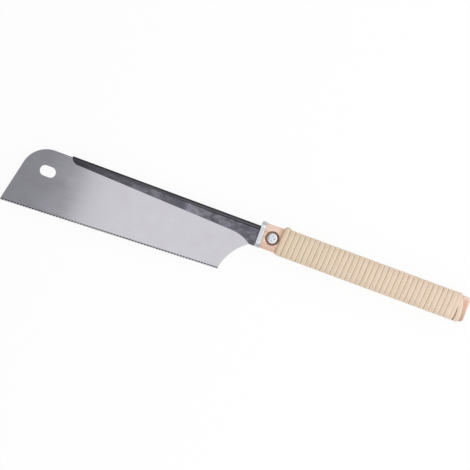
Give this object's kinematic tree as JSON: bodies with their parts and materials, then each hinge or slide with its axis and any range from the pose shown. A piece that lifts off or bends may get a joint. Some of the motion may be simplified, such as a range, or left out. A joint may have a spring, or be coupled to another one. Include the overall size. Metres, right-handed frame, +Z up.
{
  "type": "flush cut saw",
  "caption": "Fine pull saw with a thin steel plate, a folded blackened back and a cane-wrapped wooden handle, its replaceable blade clamped by a screw behind the ferrule.",
  "frame": {"origin": "on the table under the middle of the saw's box, with the saw lying on its side", "axes": "+Y along the handle towards the blade's tip, +X towards the spine, +Z up through the flat of the blade, on the side of the clamp screw's head"},
  "size_m": [0.048, 0.3152, 0.0157],
  "materials": {
    "saw_plate": "satin",
    "folded_spine": "satin",
    "ferrule": "satin",
    "handle_core": "satin",
    "cane_wrap": "satin",
    "clamp_screw": "gloss",
    "screw_washer": "satin",
    "clamp_nut": "satin"
  },
  "bodies": {
    "handle": {"handle_core": "handle_core", "ferrule": "ferrule", "cane_wrap": "cane_wrap", "clamp_nut": "clamp_nut"},
    "blade": {"saw_plate": "saw_plate", "folded_spine": "folded_spine"},
    "washer": {"screw_washer": "screw_washer"},
    "screw": {"clamp_screw": "clamp_screw"}
  },
  "joints": [
    {"name": "blade_slide", "type": "slide", "parent": "handle", "child": "blade", "axis": [0, 1, 0], "range_m": [0, 0.045]},
    {"name": "washer_lift", "type": "slide", "parent": "handle", "child": "washer", "axis": [0, 0, 1], "range_m": [0, 0.0014]},
    {"name": "screw_turn", "type": "hinge", "parent": "washer", "child": "screw", "pos_m": [0.01435, -0.02087, 0.0118], "axis": [0, 0, 1], "range_deg": [0, 720.02]}
  ],
  "couplings": [
    {"joint": "screw_turn", "follows": "washer_lift", "rad_per_m": 8976}
  ]
}
